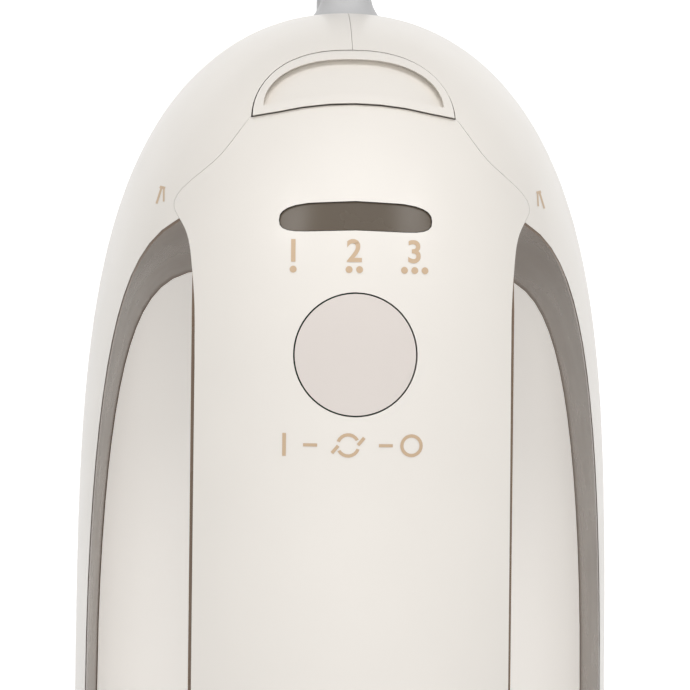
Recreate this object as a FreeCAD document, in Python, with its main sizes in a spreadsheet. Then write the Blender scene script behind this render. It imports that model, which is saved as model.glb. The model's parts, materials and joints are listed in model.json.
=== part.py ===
import FreeCAD, Part

import math
import os
import re

# Hand mixer, standing on its heel: z runs from the heel to the nose, the handle faces -Y,
# the underside with the two beaters faces +Y, and x = 0 is the plane of symmetry.

V = FreeCAD.Vector
X, Y, Z = V(1, 0, 0), V(0, 1, 0), V(0, 0, 1)

os.makedirs("parts", exist_ok=True)
doc = FreeCAD.newDocument("HandMixer")

# ---------------------------------------------------------------- driving dimensions

SIZES = {
    # body
    "body_length": 195.0,
    "body_width": 82.4,
    "front_depth": 60.0,
    "back_depth": 42.0,
    "widest_level": 6.0,
    "nose_front_run": 53.0,
    "nose_back_run": 34.0,
    "nose_side_run": 130.0,
    "nose_tip_cut": 0.6,
    "heel_lift": 0.8,
    "heel_run": 62.0,
    "heel_tuck": 12.0,
    "heel_round": 8.0,
    "wall": 2.4,
    "joint_gap": 0.03,
    # hand opening
    "opening_half": 38.0,
    "opening_drop": 39.5,
    "opening_middle_drop": 106.0,
    "opening_bottom": 40.0,
    "opening_floor": 0.0,
    "opening_side_draft": 0.1,
    "opening_end_draft": 9.5,
    "liner_wall": 1.8,
    "liner_edge": 0.4,
    "floor_crown": 190.0,
    "panel_wall": 2.2,
    # handle
    "handle_half": 21.9,
    "handle_cover_drop": 11.4,
    "handle_depth": 24.0,
    "grip_wall": 2.4,
    "grip_step": 0.5,
    "grip_round": 9.0,
    # controls
    "button_drop": 53.0,
    "button_size": 16.4,
    "button_gap": 0.22,
    "button_cap": 2.6,
    "window_drop": 34.1,
    "window_width": 20.8,
    "window_rise": 3.9,
    "lens_wall": 2.0,
    "board_level": -39.0,
    "board_width": 30.0,
    "board_length": 46.0,
    "board_wall": 1.6,
    # eject lever
    "lever_half": 14.3,
    "lever_foot": 19.4,
    "lever_head": 9.2,
    "lever_rise": 0.7,
    "lever_lip": 1.5,
    "lever_scoop": 0.9,
    "lever_gap": 0.22,
    "eject_travel": 5.0,
    # drive
    "motor_level": 27.0,
    "spindle_half_pitch": 18.0,
    "spindle_drop": 38.0,
    "spindle_size": 10.0,
    "spindle_bore": 6.3,
    "shaft_size": 5.0,
    "worm_size": 9.2,
    "wheel_gap": 0.8,
    "wheel_wall": 8.0,
    "armature_size": 23.0,
    "armature_length": 32.0,
    "stator_width": 52.0,
    "stator_depth": 33.0,
    "air_gap": 0.5,
    # beaters
    "beater_shank": 6.0,
    "beater_reach": 138.0,
    "beater_cage": 42.0,
    "beater_strip": 1.2,
    "beater_strip_width": 5.0,
    # heel
    "pad_width": 56.0,
    "pad_depth": 46.0,
    "pad_height": 2.0,
    # cord
    "cord_size": 6.5,
    "relief_length": 31.0,
    "relief_root": 11.4,
    "relief_neck": 7.9,
    "coil_hole": 50.0,
    "coil_turn": 85.5,
    "coil_height": 13.4,
    "tie_wall": 0.8,
    "tie_width": 7.0,
    "plug_width": 24.0,
    "plug_height": 14.0,
    "plug_body_length": 32.0,
}

sheet = doc.addObject("Spreadsheet::Sheet", "Sizes")
for row, (alias, value) in enumerate(SIZES.items(), start=1):
    sheet.set(f"A{row}", alias)
    sheet.set(f"B{row}", str(value))
    sheet.setAlias(f"B{row}", alias)
doc.recompute()


class Read:
    """Reads one named size from the sheet as a number."""

    def __getattr__(self, alias):
        return float(sheet.get(alias))


v = Read()
WORD = re.compile(r"[a-z][a-z_]+")


def on_sheet(text):
    """Turns a formula in plain names into one that reads the sheet's cells."""
    return WORD.sub(lambda found: f"Sizes.{found.group(0)}" if found.group(0) in SIZES
                    else found.group(0), str(text))


def bind(thing, **formulas):
    """Binds properties of a document object to formulas of the named sizes."""
    for name, text in formulas.items():
        thing.setExpression(name, on_sheet(text))
    return thing


TURN = {
    "Z": FreeCAD.Rotation(),
    "Y": FreeCAD.Rotation(X, -90),
    "X": FreeCAD.Rotation(Y, 90),
}


def put(thing, at, along="Z"):
    """Places a document object at three formulas, its own z axis turned along an axis."""
    thing.Placement = FreeCAD.Placement(V(), TURN[along])
    for axis, text in zip("xyz", at):
        thing.setExpression(f"Placement.Base.{axis}", on_sheet(text))
    return thing


def cylinder(name, size, height, at, along="Z"):
    made = doc.addObject("Part::Cylinder", name)
    bind(made, Radius=f"({size}) / 2", Height=height)
    return put(made, at, along)


def cone(name, size, end_size, height, at, along="Z"):
    made = doc.addObject("Part::Cone", name)
    bind(made, Radius1=f"({size}) / 2", Radius2=f"({end_size}) / 2", Height=height)
    return put(made, at, along)


def block(name, width, depth, height, centre):
    """A box given by its three sizes and the centre of its x, y and z spans."""
    made = doc.addObject("Part::Box", name)
    bind(made, Length=width, Width=depth, Height=height)
    x, y, z = centre
    return put(made, (f"{x} - ({width}) / 2", f"{y} - ({depth}) / 2", f"{z} - ({height}) / 2"))


def fused(name, *things):
    made = doc.addObject("Part::MultiFuse", name)
    made.Shapes = list(things)
    return made


def cut(name, base, *tools):
    made = doc.addObject("Part::Cut", name)
    made.Base = base
    made.Tool = tools[0] if len(tools) == 1 else fused(f"{name}_tools", *tools)
    return made


def common(name, *things):
    made = doc.addObject("Part::MultiCommon", name)
    made.Shapes = list(things)
    return made


def group(name, *things):
    made = doc.addObject("Part::Compound", name)
    made.Links = list(things)
    return made


def shaped(name, shape):
    made = doc.addObject("Part::Feature", name)
    made.Shape = shape
    return made


NODES = []


def node(thing, label):
    """Names a finished piece. Its label is also the name of its file."""
    thing.Label = label
    NODES.append(thing)
    return thing


# ---------------------------------------------------------------- curved outer form

POINTS_ROUND = 40
HANDLE_SQUARE = 2.0
BACK_SQUARE = 3.0
NOSE_SIDE_POWER = 4.7
NOSE_SIDE_ROOT = 2.1
LINER_RECESS = 0.05
NOSE_BACK_POWER = 2.4


def half_width(drop):
    """Half the body's width at a distance below the nose tip."""
    run = max(0.0, 1 - drop / v.nose_side_run)
    return v.body_width / 2 * max(0.0, 1 - run ** NOSE_SIDE_POWER) ** (1 / NOSE_SIDE_ROOT)


def front_reach(drop):
    """How far the handle side stands out from the widest level."""
    run = max(0.0, 1 - drop / v.nose_front_run)
    reach = v.front_depth * math.sqrt(1 - run ** 2)
    low = v.body_length - drop
    if low < v.heel_run:
        share = (v.heel_run - low) / v.heel_run
        reach -= v.heel_tuck * (1 - math.sqrt(max(0.0, 1 - share ** 2)))
    return reach


def back_reach(drop):
    """How far the underside stands out from the widest level."""
    run = max(0.0, 1 - drop / v.nose_back_run)
    return v.back_depth * (1 - run ** NOSE_BACK_POWER) ** (1 / NOSE_BACK_POWER)


def heel_loss(low):
    """What the rounded heel edge takes off each side."""
    if low >= v.heel_round:
        return 0.0
    return v.heel_round - math.sqrt(max(0.0, v.heel_round ** 2 - (v.heel_round - low) ** 2))


def section(z, inset):
    """One closed section of the body, perpendicular to z, moved inwards by the inset."""
    drop = v.body_length - z
    loss = inset + heel_loss(max(0.0, z - v.heel_lift - max(0.0, inset)))
    half, front, back = half_width(drop) - loss, front_reach(drop) - loss, back_reach(drop) - loss
    points = []
    for i in range(POINTS_ROUND):
        turn = -math.pi / 2 + 2 * math.pi * i / POINTS_ROUND
        c, s = math.cos(turn), math.sin(turn)
        square, reach = (HANDLE_SQUARE, front) if s > 0 else (BACK_SQUARE, back)
        x = half * math.copysign(abs(c) ** (2 / square), c)
        y = reach * math.copysign(abs(s) ** (2 / square), s)
        points.append(V(x, v.widest_level - y, z))
    return points


def closed_curve(points):
    curve = Part.BSplineCurve()
    steps = len(points)
    curve.interpolate(Points=points, PeriodicFlag=True,
                      Parameters=[i / steps for i in range(steps + 1)])
    return Part.Wire([curve.toShape()])


def hull(inset):
    """The body's outer form, or an inner or outer offset of it, as one solid."""
    low, high = v.heel_lift + max(0.0, inset), v.body_length - v.nose_tip_cut
    if inset > 0:
        high -= inset
    drops = [0, 0.5, 1.6, 3.5, 6.5, 10.5, 15.5, 21.5, 29, 38, 48, 58, 72, 90, 112, 132]
    levels = [high - drop for drop in drops]
    levels += [low + rise for rise in (40, 24, 12, v.heel_round, 5, 2.5, 0.9, 0.15, 0)]
    return Part.makeLoft([closed_curve(section(z, inset)) for z in levels], True, False)


print("hull")
outer = hull(0.0)
inner = hull(v.wall)
hollow = outer.cut(inner)

# ---------------------------------------------------------------- hand opening

EDGE_POWER = 8.5
POINTS_OPENING = 72


def opening_outline(y, grow):
    """The hand opening's outline at a level, wider than at its floor by the draft."""
    rise = v.opening_floor - y
    end_rise = rise * math.tan(math.radians(v.opening_end_draft)) + grow
    half = v.opening_half + rise * math.tan(math.radians(v.opening_side_draft)) + grow
    middle = v.body_length - v.opening_middle_drop
    top = v.body_length - v.opening_drop + end_rise
    bottom = v.opening_bottom - end_rise
    points = []
    for i in range(POINTS_OPENING):
        turn = 2 * math.pi * i / POINTS_OPENING
        c, s = math.cos(turn), math.sin(turn)
        along = math.copysign(abs(s) ** 0.75, s)
        run = (top - middle) if s > 0 else (middle - bottom)
        x = half * math.copysign((max(0.0, 1 - along ** 2)) ** (1 / EDGE_POWER), c)
        points.append(V(x, y, middle + run * along))
    return points


def opening_solid(y_low, y_high, grow):
    """The space of the hand opening between two levels, drafted, grown by a margin."""
    wires = []
    for y in (y_low, y_high):
        points = opening_outline(y, grow)
        wires.append(Part.makePolygon(points + points[:1]))
    return Part.makeLoft(wires, True, True)


FRONT = v.widest_level - v.front_depth
AHEAD = FRONT - 6
FLOOR_BACK = v.opening_floor + 9.0
crown_low = Part.makeCylinder(v.floor_crown, v.body_length, V(0, v.floor_crown, 0), Z)
crown_under = Part.makeCylinder(v.floor_crown - v.panel_wall, v.body_length,
                                V(0, v.floor_crown, 0), Z)
above_floor = Part.makeBox(200, FLOOR_BACK + 80, v.body_length, V(-100, -80, 0)).cut(crown_low)
above_under = Part.makeBox(200, FLOOR_BACK + 80, v.body_length, V(-100, -80, 0)).cut(crown_under)

print("opening")
opening = opening_solid(AHEAD, FLOOR_BACK, 0.0)
opening_clear = opening.common(above_floor)
opening_to_under = opening.common(above_under)
shell_cutter = opening_solid(AHEAD, FLOOR_BACK, v.liner_edge)
liner_outer = opening_solid(AHEAD, FLOOR_BACK, v.liner_wall)
liner_hole = opening_solid(AHEAD, FLOOR_BACK, -4.0)

# ---------------------------------------------------------------- top cover outline


def prism(points, y_low, y_high):
    """A solid along Y over a closed outline of x, z points."""
    wire = Part.makePolygon([V(x, y_low, z) for x, z in points + [points[0]]])
    return Part.Face(wire).extrude(V(0, y_high - y_low, 0))


def flipped(point):
    return V(-point.x, point.y, point.z)


def cover_prism_solid(grow):
    """The cover seen from the front: a curved shoulder on each side, then straight edges."""
    nose, half = v.body_length, v.handle_half + grow
    side = v.lever_half + v.lever_gap
    foot = nose - v.lever_foot
    y = AHEAD
    shoulder = [V(side - 1.0, y, foot + 1.5), V(side + 1.6 + grow, y, foot - 2.2 + grow),
                V(side + 5.2 + grow, y, foot - 6.6 + grow), V(half + 3.4, y, foot - 13.0),
                V(half + 2.0, y, nose - 35.0), V(half + 0.7, y, nose - 40.0),
                V(half + 0.1, y, nose - 47.0), V(half, y, nose - 54.0)]
    low = [V(half, y, v.opening_bottom - 8), V(half - 4, y, v.heel_lift + 16 - grow)]
    curve = Part.BSplineCurve()
    curve.interpolate(Points=shoulder)
    other = Part.BSplineCurve()
    other.interpolate(Points=[flipped(p) for p in reversed(shoulder)])
    edges = [curve.toShape()]
    path = [shoulder[-1], *low, *[flipped(p) for p in reversed(low)], flipped(shoulder[-1])]
    edges += [Part.LineSegment(a, b).toShape() for a, b in zip(path, path[1:])]
    edges += [other.toShape(), Part.LineSegment(flipped(shoulder[0]), shoulder[0]).toShape()]
    return Part.Face(Part.Wire(edges)).extrude(V(0, v.opening_floor - 8 - AHEAD, 0))


SIDE_STEPS = 14


def lever_outline(shrink):
    """The lever's arch: a half ellipse over a shallow bowed foot."""
    nose = v.body_length
    foot = nose - v.lever_foot
    half = v.lever_half - shrink
    rise = v.lever_foot - v.lever_head - 2 * shrink
    arch = [(half * math.cos(math.pi * i / (2 * SIDE_STEPS)) ** 0.8,
             foot + shrink + rise * math.sin(math.pi * i / (2 * SIDE_STEPS)))
            for i in range(SIDE_STEPS)]
    top = [(0.0, foot + shrink + rise)]
    bow = [(-half + 2 * half * i / 8, foot + 2.0 * (1 - (2 * i / 8 - 1) ** 2) - 0.4 + shrink)
           for i in range(1, 8)]
    left = [(-x, z) for x, z in reversed(arch)]
    return arch + top + left + bow


lever_cutter = prism(lever_outline(-v.lever_gap), AHEAD, v.widest_level - 6)
cover_prism = cover_prism_solid(0.0)
cover_cutter = cover_prism_solid(v.joint_gap)

# ---------------------------------------------------------------- body shells

SPINDLE_Z = v.body_length - v.spindle_drop
UNDERSIDE = v.widest_level + v.back_depth
BEZEL_SIZE = v.spindle_size + 7.0
RELIEF_HOLE = v.relief_neck + 0.6
SCREWS = [(36.0, 16.0), (38.0, v.body_length - 60.5), (26.5, v.body_length - 13.0)]
SCREW_HEAD = 5.6
SCREW_SIZE = 2.8
BOSS_SIZE = 7.0
VENT_STEPS = 7
VENT_PITCH = 5.2
VENT_START = 52.0

print("shells")
shell = hollow.cut(shell_cutter).cut(cover_cutter).cut(lever_cutter)
for side in (-1, 1):
    seat = Part.makeCylinder(BEZEL_SIZE / 2 + 0.15, 20,
                             V(side * v.spindle_half_pitch, UNDERSIDE - 8, SPINDLE_Z), Y)
    shell = shell.cut(seat)
    for step in range(VENT_STEPS):
        slot = Part.makeBox(20, 12, 2.2, V(side * 18 - 10, UNDERSIDE - 6,
                                           VENT_START + step * VENT_PITCH))
        shell = shell.cut(slot)
shell = shell.cut(Part.makeBox(v.pad_width + 0.4, v.pad_depth + 0.4, v.pad_height + 1,
                               V(-v.pad_width / 2 - 0.2, -v.pad_depth / 2 - 0.2 + 4, -1)))
shell = shell.cut(Part.makeCylinder(RELIEF_HOLE / 2, 20, V(0, v.widest_level, v.body_length - 12), Z))
for y, z in SCREWS:
    boss = Part.makeCylinder(BOSS_SIZE / 2, 200, V(-100, y, z), X).common(inner)
    shell = shell.fuse(boss)
for y, z in SCREWS:
    reach = half_width(v.body_length - z)
    shell = shell.cut(Part.makeCylinder(SCREW_SIZE / 2 + 0.15, 60, V(-12, y, z), X))
    shell = shell.cut(Part.makeCylinder(SCREW_HEAD / 2 + 0.2, 60, V(12, y, z), X))

SEAM = 0.03
for label, side in (("body_shell_left", -1), ("body_shell_right", 1)):
    corner = V(SEAM if side > 0 else -100 - SEAM, -100, -20)
    half_shell = shell.common(Part.makeBox(100, 200, 260, corner))
    node(shaped(label, half_shell), label)

# ---------------------------------------------------------------- cover, grip, liner, panel

print("cover")
BUTTON_Z = v.body_length - v.button_drop
WINDOW_Z = v.body_length - v.window_drop


def window_outline(grow):
    """A bar with round ends, bowed up a little in the middle."""
    half = v.window_width / 2 + grow
    rise = v.window_rise / 2 + grow
    points = []
    steps = 24
    for i in range(steps):
        turn = 2 * math.pi * i / steps
        x = half * math.copysign(abs(math.cos(turn)) ** 0.35, math.cos(turn))
        z = rise * math.copysign(abs(math.sin(turn)) ** 0.75, math.sin(turn))
        points.append((x, WINDOW_Z + z - 0.6 * (x / half) ** 2))
    return points


cover = hollow.common(cover_prism).cut(lever_cutter)
cover = cover.cut(Part.makeCylinder(v.button_size / 2 + v.button_gap, 20,
                                    V(0, AHEAD, BUTTON_Z), Y))
cover = cover.cut(prism(window_outline(0.1), AHEAD, AHEAD + 30))
node(shaped("handle_top_cover", cover), "handle_top_cover")

half, drop, deep = v.handle_half + v.grip_step, v.handle_cover_drop, v.handle_depth
GRIP_TOP = FRONT + drop
GRIP_BOTTOM = FRONT + deep


def grip_bar(inset):
    """The lower half of the handle bar as a solid along z, with two rounded corners."""
    bar = Part.makeBox(2 * (half - inset), GRIP_BOTTOM - GRIP_TOP - inset, v.body_length,
                       V(-half + inset, GRIP_TOP - (2 if inset else 0), 0))
    if inset:
        bar = Part.makeBox(2 * (half - inset), GRIP_BOTTOM - GRIP_TOP, v.body_length,
                           V(-half + inset, GRIP_TOP - inset, 0))
    corners = [edge for edge in bar.Edges
               if abs(edge.Vertexes[0].Y - bar.BoundBox.YMax) < 1e-6
               and abs(edge.Vertexes[-1].Y - bar.BoundBox.YMax) < 1e-6
               and abs(edge.Vertexes[0].X - edge.Vertexes[-1].X) < 1e-6]
    return bar.makeFillet(v.grip_round - inset, corners)


grip = grip_bar(0.0).cut(grip_bar(v.grip_wall)).common(opening_clear).common(outer)
grip = grip.cut(cover)
node(shaped("handle_grip", grip), "handle_grip")

liner = liner_outer.cut(opening_to_under).cut(liner_hole).common(hull(LINER_RECESS))
liner = liner.cut(hollow.cut(shell_cutter))
liner = liner.cut(Part.makeBox(2 * (half - v.grip_wall), GRIP_BOTTOM - v.grip_wall - AHEAD,
                               v.body_length, V(-half + v.grip_wall, AHEAD, 0)))
liner = liner.cut(cover_cutter.common(hollow))
node(shaped("opening_liner", liner), "opening_liner")

panel = opening_solid(AHEAD, FLOOR_BACK, -0.2).common(above_under).cut(above_floor)
node(shaped("saddle_panel", panel), "saddle_panel")

# ---------------------------------------------------------------- controls

print("controls")
lens = hull(0.35).cut(hull(v.lens_wall)).common(prism(window_outline(0.0), AHEAD, AHEAD + 30))
node(shaped("speed_window", lens), "speed_window")

BUTTON_BACK = FRONT + v.button_cap
button = outer.common(Part.makeCylinder(v.button_size / 2, 2 * v.button_cap + 6,
                                        V(0, AHEAD, BUTTON_Z), Y))
button = button.common(Part.makeBox(60, BUTTON_BACK - AHEAD, 60, V(-30, AHEAD, BUTTON_Z - 30)))
stem = Part.makeCylinder(2.5, 8.2, V(0, BUTTON_BACK - 0.5, BUTTON_Z), Y)
node(shaped("push_button", button.fuse(stem)), "push_button")

lever_solid = hull(-v.lever_rise).cut(hull(v.wall + 0.4))
lever = lever_solid.common(prism(lever_outline(0.0), AHEAD, v.widest_level - 8))
scoop = hull(-v.lever_rise - 3).cut(hull(v.lever_scoop))
lever = lever.cut(scoop.common(prism(lever_outline(v.lever_lip), AHEAD, v.widest_level - 8)))
PLATE_Y = 12.2
POST_Z = v.body_length - v.lever_foot + 5.0
post = Part.makeBox(9, 60, 6, V(-4.5, PLATE_Y - 60, POST_Z - 3)).common(hull(v.wall - 0.4))
node(shaped("eject_lever", lever.fuse(post)), "eject_lever")

# ---------------------------------------------------------------- control board

STEM_END = BUTTON_BACK - 0.5 + 8.2
board = block("board_plate", "board_width", "board_wall", "board_length",
              ("0", "board_level + board_wall / 2", "body_length - 31 - board_length / 2"))
node(board, "control_board")

button_z = "body_length - button_drop"
window_z = "body_length - window_drop"
switch_body = block("switch_case", "6", "2.6", "6", ("0", "board_level - 1.3", button_z))
switch_knob = cylinder("switch_knob", "2.8", "1.2", ("0", "board_level - 3.4", button_z), "Y")
node(fused("switch", switch_body, switch_knob), "button_switch")

leds = [cylinder(f"led_{i}", "3", "5", (f"{x}", "board_level - 5", window_z), "Y")
        for i, x in enumerate((-8, 0, 8))]
node(group("leds", *leds), "speed_leds")


SPRING_FLATS = 8


def spring(turns, size, wire, length, at):
    """A compression spring with its axis along Y, starting at a point."""
    line = Part.makeHelix(length / turns, length, size / 2)
    turn_step = 2 * math.pi / SPRING_FLATS
    ring = Part.makePolygon([V(size / 2 + wire / 2 * math.cos(turn_step * i), 0,
                               wire / 2 * math.sin(turn_step * i))
                             for i in range(SPRING_FLATS + 1)])
    coil = Part.Wire(line.Edges).makePipeShell([ring], True, True)
    coil.rotate(V(), X, -90)
    coil.translate(at)
    return coil


BUTTON_SPRING_WIRE = 0.5
spring_foot = v.board_level - 2.6 - BUTTON_SPRING_WIRE / 2
spring_top = BUTTON_BACK + BUTTON_SPRING_WIRE / 2 + 0.05
node(shaped("button_coil", spring(4, 7.2, BUTTON_SPRING_WIRE, spring_foot - spring_top,
                                  V(0, spring_top, BUTTON_Z))), "button_spring")

# ---------------------------------------------------------------- motor and gear train

print("drive")
cavity = shaped("cavity", hull(v.wall + 0.2))
motor_y = "motor_level"
spindle_z = "body_length - spindle_drop"


def below_spindle(run):
    """A height on the motor's axis, as a distance below the spindles."""
    return f"({spindle_z} - {run})"


ARMATURE_Z = below_spindle(81)
shaft_rod = cylinder("shaft_rod", "shaft_size", "134", ("0", motor_y, below_spindle(119)))
worm_core = cylinder("worm_core", "worm_size - 2", "24", ("0", motor_y, below_spindle(12)))
worm_rings = [cone(f"worm_thread_{i}", "worm_size - 2", "worm_size", "1.1",
                   ("0", motor_y, below_spindle(11) + f" + {2.6 * i}")) for i in range(8)]
node(fused("shaft", shaft_rod, worm_core, *worm_rings), "motor_shaft")

ARMATURE_SLOTS = 12
laminations = cylinder("laminations", "armature_size", "armature_length", ("0", motor_y, ARMATURE_Z))
winding_slots = []
for i in range(ARMATURE_SLOTS):
    angle = 360 / ARMATURE_SLOTS * i
    winding_slots.append(cylinder(
        f"armature_slot_{i}", "3", "armature_length + 2",
        (f"armature_size / 2 * cos({angle} deg)", f"motor_level + armature_size / 2 * sin({angle} deg)",
         f"{ARMATURE_Z} - 1")))
shaft_hole = cylinder("armature_bore", "shaft_size", "armature_length + 2",
                      ("0", motor_y, f"{ARMATURE_Z} - 1"))
node(cut("armature", laminations, shaft_hole, *winding_slots), "armature_core")

comm_body = cylinder("comm_body", "15", "11", ("0", motor_y, below_spindle(99)))
comm_bore = cylinder("comm_bore", "shaft_size", "13", ("0", motor_y, below_spindle(100)))
node(cut("comm", comm_body, comm_bore), "commutator")

FAN_Z = below_spindle(43)
fan_hub = cylinder("fan_hub", "12", "8", ("0", motor_y, FAN_Z))
fan_disc = cylinder("fan_disc", "33", "1.2", ("0", motor_y, FAN_Z))
fan_bore = cylinder("fan_bore", "shaft_size", "12", ("0", motor_y, below_spindle(45)))
blades = []
for i in range(12):
    blade = doc.addObject("Part::Box", f"fan_blade_{i}")
    bind(blade, Length="11", Width="1", Height="8")
    put(blade, ("0", motor_y, FAN_Z))
    angle = 30 * i
    blade.Placement.Rotation = FreeCAD.Rotation(Z, angle)
    blade.setExpression("Placement.Base.x", f"5.5 * cos({angle} deg)")
    blade.setExpression("Placement.Base.y", on_sheet(f"motor_level + 5.5 * sin({angle} deg)"))
    blades.append(blade)
node(cut("fan", fused("fan_solid", fan_hub, fan_disc, *blades), fan_bore), "cooling_fan")

stack = block("stack", "stator_width", "stator_depth", "armature_length",
              ("0", motor_y, f"{ARMATURE_Z} + armature_length / 2"))
stack_bore = cylinder("stack_bore", "armature_size + 2 * air_gap", "armature_length + 2",
                      ("0", motor_y, f"{ARMATURE_Z} - 1"))
coil_windows = [block(f"coil_window_{i}", "7", "24", "armature_length + 2",
                      (f"{x}", motor_y, f"{ARMATURE_Z} + armature_length / 2"))
                for i, x in enumerate((-18, 18))]
node(common("stator", cut("stator_stack", stack, stack_bore, *coil_windows), cavity), "stator_core")

windings = []
for i, x in enumerate((-18, 18)):
    solid = block(f"winding_{i}", "6.4", "23.4", "armature_length + 8",
                  (f"{x}", motor_y, f"{ARMATURE_Z} + armature_length / 2"))
    windings.append(solid)
node(group("windings", *windings), "field_coils")


def bracket(name, z, thickness, seat):
    """A plate across the cavity that holds one end of the motor shaft in a bearing."""
    plate = block(f"{name}_plate", "70", "35", thickness, ("0", motor_y, z))
    hole = cylinder(f"{name}_hole", seat, "20", ("0", motor_y, f"{z} - 10"))
    windows = [block(f"{name}_window_{i}", "9", "20", "20", (f"{x}", motor_y, z))
               for i, x in enumerate((-20, 20))]
    return common(name, cut(f"{name}_cut", plate, hole, *windows), cavity)


BEARING_SIZE = "13"
node(bracket("rear_bracket_form", below_spindle(109), "5", BEARING_SIZE), "rear_bracket")
node(bracket("front_bracket_form", below_spindle(30), "5", BEARING_SIZE), "front_bracket")
for label, z in (("rear_bearing", below_spindle(111.5)), ("front_bearing", below_spindle(32.5))):
    race = cylinder(f"{label}_race", BEARING_SIZE, "5", ("0", motor_y, z))
    hole = cylinder(f"{label}_hole", "shaft_size + 0.04", "7", ("0", motor_y, f"{z} - 1"))
    node(cut(f"{label}_form", race, hole), label)

BRUSH_Z = below_spindle(93.5)
holders, brushes = [], []
for i, side in enumerate((-1, 1)):
    tube = block(f"holder_tube_{i}", "13", "8", "8", (f"{side * 15.5}", motor_y, BRUSH_Z))
    bore = block(f"holder_bore_{i}", "20", "5.2", "5.2", (f"{side * 15.5}", motor_y, BRUSH_Z))
    foot = block(f"holder_foot_{i}", "8", "5", "13.2",
                 (f"{side * 18}", motor_y + " + 6.4", below_spindle(99.9)))
    holders.append(cut(f"holder_{i}", fused(f"holder_solid_{i}", tube, foot), bore))
    brushes.append(block(f"brush_{i}", "11", "5", "5", (f"{side * 13.2}", motor_y, BRUSH_Z)))
node(group("holders", *holders), "brush_holders")
node(group("brushes", *brushes), "carbon_brushes")

WHEEL_TEETH = 24
WHEEL_RADIUS = "(spindle_half_pitch - worm_size / 2 - wheel_gap)"
UPPER_PLATE = "20.8"
LOWER_PLATE = "34.5"
for side, hand in ((-1, "left"), (1, "right")):
    x = f"{side} * spindle_half_pitch"
    disc = cylinder(f"wheel_disc_{hand}", f"2 * {WHEEL_RADIUS}", "wheel_wall",
                    (x, "motor_level - wheel_wall / 2", spindle_z), "Y")
    wheel_bore = cylinder(f"wheel_bore_{hand}", "spindle_size", "20",
                          (x, "motor_level - 10", spindle_z), "Y")
    gaps = []
    for tooth in range(WHEEL_TEETH):
        angle = 360 / WHEEL_TEETH * tooth
        gaps.append(cylinder(f"wheel_gap_{hand}_{tooth}", "1.7", "20",
                             (f"{x} + {WHEEL_RADIUS} * cos({angle} deg)", "motor_level - 10",
                              f"{spindle_z} + {WHEEL_RADIUS} * sin({angle} deg)"), "Y"))
    node(cut(f"wheel_{hand}", disc, wheel_bore, *gaps), f"worm_wheel_{hand}")
    tube = cylinder(f"tube_{hand}", "spindle_size", "28.8", (x, "20", spindle_z), "Y")
    bore = cylinder(f"tube_bore_{hand}", "spindle_bore", "32", (x, "18", spindle_z), "Y")
    node(cut(f"spindle_form_{hand}", tube, bore), f"spindle_{hand}")

bushes, plate_holes, frame_plates = [], [], []
for side in (-1, 1):
    x = f"{side} * spindle_half_pitch"
    for level, y in (("upper", UPPER_PLATE), ("lower", LOWER_PLATE)):
        tag = f"{level}_{'left' if side < 0 else 'right'}"
        body = cylinder(f"bush_{tag}", "spindle_size + 4", "2.8", (x, f"{y} - 1.4", spindle_z), "Y")
        hole = cylinder(f"bush_hole_{tag}", "spindle_size + 0.08", "6",
                        (x, f"{y} - 3", spindle_z), "Y")
        bushes.append(cut(f"bush_form_{tag}", body, hole))
        plate_holes.append(cylinder(f"plate_hole_{tag}", "spindle_size + 4", "6",
                                    (x, f"{y} - 3", spindle_z), "Y"))
node(group("bushes", *bushes), "spindle_bushes")
for level, y in (("upper", UPPER_PLATE), ("lower", LOWER_PLATE)):
    frame_plates.append(block(f"frame_plate_{level}", "62", "2.8", "33", ("0", y, spindle_z)))
posts = [block(f"frame_post_{i}", "5", f"{LOWER_PLATE} - {UPPER_PLATE}", "4",
               (f"{x}", f"({LOWER_PLATE} + {UPPER_PLATE}) / 2", f"{spindle_z} + {z}"))
         for i, (x, z) in enumerate(((-9, 14.5), (9, 14.5), (-29, -14.5), (29, -14.5)))]
node(common("frame_form", cut("frame_cut", fused("frame_solid", *frame_plates, *posts),
                              *plate_holes), cavity), "gearbox_frame")

# ---------------------------------------------------------------- ejector

plate_top = "body_length - lever_foot + 8"
ejector = block("ejector_bar", "47", "1.8", "16", ("0", f"{PLATE_Y} + 0.9", spindle_z))
ejector_arm = block("ejector_arm", "9", "1.8", f"{plate_top} - ({spindle_z})",
                    ("0", f"{PLATE_Y} + 0.9", f"({plate_top} + {spindle_z}) / 2"))
pins = [cylinder(f"ejector_pin_{i}", "spindle_bore - 1.2", "11.3",
                 (f"{side} * spindle_half_pitch", f"{PLATE_Y} + 1", spindle_z), "Y")
        for i, side in enumerate((-1, 1))]
node(fused("ejector_form", ejector, ejector_arm, *pins), "ejector_plate")

EJECT_SPRING_WIRE = 0.6
eject_top = PLATE_Y + 1.8 + EJECT_SPRING_WIRE / 2 + 0.02
eject_foot = 19.4 - EJECT_SPRING_WIRE / 2 - 0.02
node(shaped("eject_coil", spring(4, 8.0, EJECT_SPRING_WIRE, eject_foot - eject_top,
                                 V(0, eject_top, SPINDLE_Z))), "ejector_spring")

# ---------------------------------------------------------------- sockets and beaters

bezels = []
for side in (-1, 1):
    x = f"{side} * spindle_half_pitch"
    tag = "left" if side < 0 else "right"
    under = "widest_level + back_depth"
    sleeve = cylinder(f"bezel_sleeve_{tag}", "spindle_size + 7", "9.6", (x, f"{under} - 8", spindle_z), "Y")
    mouth = cylinder(f"bezel_mouth_{tag}", "spindle_size + 0.8", "20", (x, f"{under} - 10", spindle_z), "Y")
    bezels.append(cut(f"bezel_{tag}", sleeve, mouth))
node(group("bezels", *bezels), "socket_bezels")


LOOP_SHAPE = [(0.0, 0.0), (0.3, 0.035), (0.55, 0.12), (0.88, 0.26), (1.0, 0.45), (0.95, 0.66),
              (0.72, 0.85), (0.4, 0.963), (0.0, 1.0)]


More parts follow.
